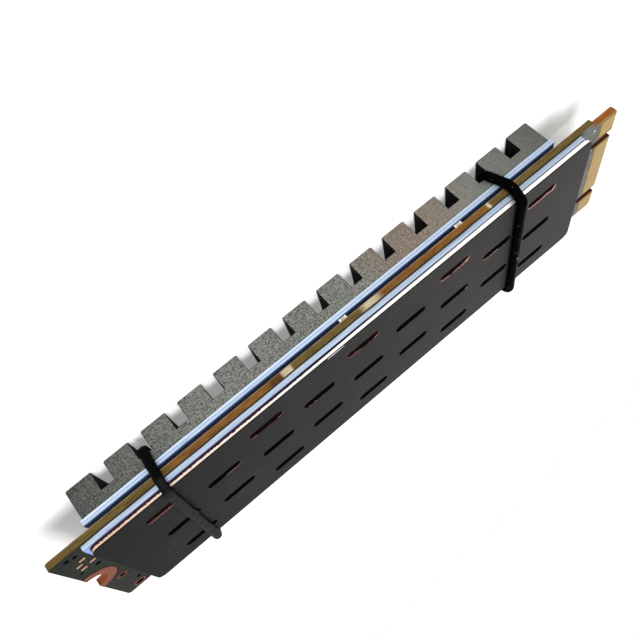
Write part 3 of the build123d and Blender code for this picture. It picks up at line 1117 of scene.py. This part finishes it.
def transistor_leads(low, high):
    """Three flat leads, each with a foot on the board, a drop and a shoulder that enters the body."""
    middle = (low + high) / 2
    drop = high.z - middle.z - 1.5 * lead_sheet
    leads = []
    for side, across in lead_places:
        tip = high.x if side > 0 else low.x
        bend = tip - side * lead_reach / 2
        near, far = sorted((tip, bend - side * lead_sheet))
        half = Vector((0, lead_width / 2, 0))
        lead = add_block(Vector((near, middle.y + across, high.z - lead_sheet)) - half,
                         Vector((far, middle.y + across, high.z)) + half)
        edit(lead)
        bpy.ops.mesh.bisect(plane_co=(bend, 0, 0), plane_no=(1, 0, 0))
        pick_faces(lead, lambda centre, normal: normal.z < -squarely and (centre.x - bend) * side < 0)
        extrude((0, 0, -drop))
        extrude((0, 0, -lead_sheet))
        top = high.z - lead_sheet - drop
        pick_faces(lead, lambda centre, normal: normal.x * side < -squarely and centre.z < top)
        extrude((-side * lead_reach / 2, 0, 0))
        close_edit()
        leads.append(lead)
    return join_all(leads)


set_out(transistor_body, "switch_transistors", "transistor_bodies", moulded_finish)
set_out(transistor_leads, "switch_transistors", "transistor_leads", tin_finish)

crystal = merged_copy("crystal_oscillator", "crystal_can")
edit(crystal)
pick_faces(crystal, lambda centre, normal: normal.z < -squarely)
bpy.ops.mesh.inset(thickness=lid_margin)
extrude((0, 0, lid_depth))
close_edit()
finish_piece(crystal, tin_finish, "crystal_oscillator")

# %% [markdown]
# ## Bare pads and filled vias
# Beside the screw notch the board has two ring pads, a few filled vias, and by the contacts two specks of solder.
# A ring is a circle, extruded inwards and then up. The others are low domes: a filled circle, extruded and drawn in.

# %% Rings and domes
pad_sheet = 0.035 * mm
circle_points = 32
ring_places = ((37.75, 3.7, 0.64, 0.45), (37.85, 9.7, 0.80, 0.60))
via_margin = 0.01
ring_centres = [(x, y, inner - via_margin) for x, y, outer, inner in ring_places]
via_places = [(38.35, -9.75, 0.34), (37.55, -9.35, 0.30), (37.3, -4.0, 0.34), (39.1, -4.6, 0.24),
              (37.2, 7.9, 0.34), (37.1, 10.1, 0.26)]
speck_places = ((-36.4, -9.0, 0.16), (-36.7, -5.05, 0.13))
dome_steps = ((0.4, 0.85), (0.4, 0.6), (0.2, 0.4))


def add_circle(x, y, radius, fill):
    """A circle on the board's upper face, in edit mode."""
    centre = Vector((x * mm, y * mm, board_high.z))
    circle = start_from(bpy.ops.mesh.primitive_circle_add, vertices=circle_points, radius=radius, fill_type=fill,
                        location=centre)
    edit(circle, by="EDGE")
    return circle, centre


def make_ring(x, y, outer, inner):
    """A flat ring of foil."""
    ring, centre = add_circle(x, y, outer * mm, "NOTHING")
    bpy.ops.mesh.extrude_edges_move(TRANSFORM_OT_translate={"value": (0, 0, 0)})
    share = inner / outer
    bpy.ops.transform.resize(value=(share, share, 1), center_override=centre)
    bpy.ops.mesh.select_all(action="SELECT")
    extrude((0, 0, pad_sheet))
    close_edit()
    return ring


def make_dome(x, y, radius):
    """A low dome of lacquer or solder."""
    dome, centre = add_circle(x, y, radius * mm, "NGON")
    for rise, share in dome_steps:
        extrude((0, 0, rise * pad_sheet))
        bpy.ops.transform.resize(value=(share, share, 1), center_override=centre)
    close_edit()
    return dome


for name, pieces, material, slot in (
    ("ring_pads", [make_ring(*spot) for spot in ring_places], notch_copper_in_shade, "gold"),
    ("filled_vias", [make_dome(*spot) for spot in via_places + ring_centres], via_finish, "board"),
    ("solder_specks", [make_dome(*spot) for spot in speck_places], tin_finish, "plated_steel"),
):
    piece = join_all(pieces)
    piece.name = name
    finish_piece(piece, material)


# %% [markdown]
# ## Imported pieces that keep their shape
# The board, its fingers and its pads are right as they are, so they only get their finish. Nothing is added to
# them, and nothing about them moves.

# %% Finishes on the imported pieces
kept_pieces = {
    "circuit_board": board_finish,
    "contact_fingers_sink_side": gold_finish,
    "contact_fingers_plate_side": gold_finish,
    "screw_notch_plating": notch_copper_in_shade,
    "service_pads": pad_gold_finish,
}
for node, material in kept_pieces.items():
    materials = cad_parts[node].data.materials
    materials.clear()
    materials.append(material)
print("finishes on packed pieces:", len(kept_pieces))

# %% [markdown]
# ## Floor and light
# A plain pale floor carries the object on its fin tips. One wide lamp stands about halfway up on the photographed
# side, and the sky fills the rest, so that a surface shows about the colour that it was given. The white all round
# comes from the sky and floor as the camera and the shiny pieces see them, and not from more light on the object.

# %% Floor
pure_white = rgb(1, 1, 1)
floor_pale = rgb(0.88, 0.88, 0.88)
floor_size = 6.0
floor_gap = 0.01 * mm
floor_glow = 0.30
floor_even = (0.06, 0.40)


def seen_directly(tree):
    """1 for what the camera, a reflection or glass looks at, 0 for light that bounces off dull surfaces."""
    rays = tree.nodes.new("ShaderNodeLightPath").outputs
    seen = calc("MAXIMUM", rays["Is Camera Ray"], rays["Is Glossy Ray"])
    return calc("MAXIMUM", seen, rays["Is Transmission Ray"])


floor = start_from(bpy.ops.mesh.primitive_plane_add, size=floor_size, location=(0, 0, -floor_gap))
floor.name = "floor"
floor_finish, tree = new_finish("pale_floor", roughness=0.9, specular=0.1)
shader = tree.nodes["Principled BSDF"]
shader.inputs["Base Color"].default_value = floor_pale
seen = seen_directly(tree)
coordinates = tree.nodes.new("ShaderNodeTexCoord")
away = add_node(tree, "VectorMath", {0: coordinates.outputs["Object"]}, operation="LENGTH")
share = product(seen, ramp(away.outputs["Value"], *floor_even))
glow = add_node(tree, "Emission", {"Color": pure_white, "Strength": 1.0})
lift = add_node(tree, "Emission", {"Color": pure_white, "Strength": product(seen, floor_glow)})
lit = add_node(tree, "AddShader", {0: shader.outputs[0], 1: lift.outputs[0]})
blend = add_node(tree, "MixShader", {0: share, 1: lit.outputs[0], 2: glow.outputs[0]})
tree.links.new(blend.outputs[0], tree.nodes["Material Output"].inputs["Surface"])
floor.data.materials.append(floor_finish)

# %% Sky and lamp
sky_level = 0.50
lamp_level = 0.80
lamp_azimuth = math.radians(8)
lamp_elevation = math.radians(52)
lamp_distance = 0.80
lamp_size = 0.30

world = bpy.data.worlds.new("studio")
scene.world = world
world.use_nodes = True
tree = world.node_tree
tree.nodes.clear()
dim = add_node(tree, "Background", {"Color": pure_white, "Strength": sky_level})
white = add_node(tree, "Background", {"Color": pure_white, "Strength": 1.0})
blend = add_node(tree, "MixShader", {0: seen_directly(tree), 1: dim.outputs[0], 2: white.outputs[0]})
world_out = tree.nodes.new("ShaderNodeOutputWorld")
tree.links.new(blend.outputs[0], world_out.inputs["Surface"])

lamp_way = way_to(lamp_azimuth, lamp_elevation)
bpy.ops.object.light_add(type="AREA", location=lamp_way * lamp_distance)
lamp = bpy.context.object
lamp.data.size = lamp_size
lamp.data.energy = lamp_level * math.pi ** 2 * lamp_distance ** 2
aim(lamp, lamp_way)
print("sky", sky_level, "lamp", lamp_level)
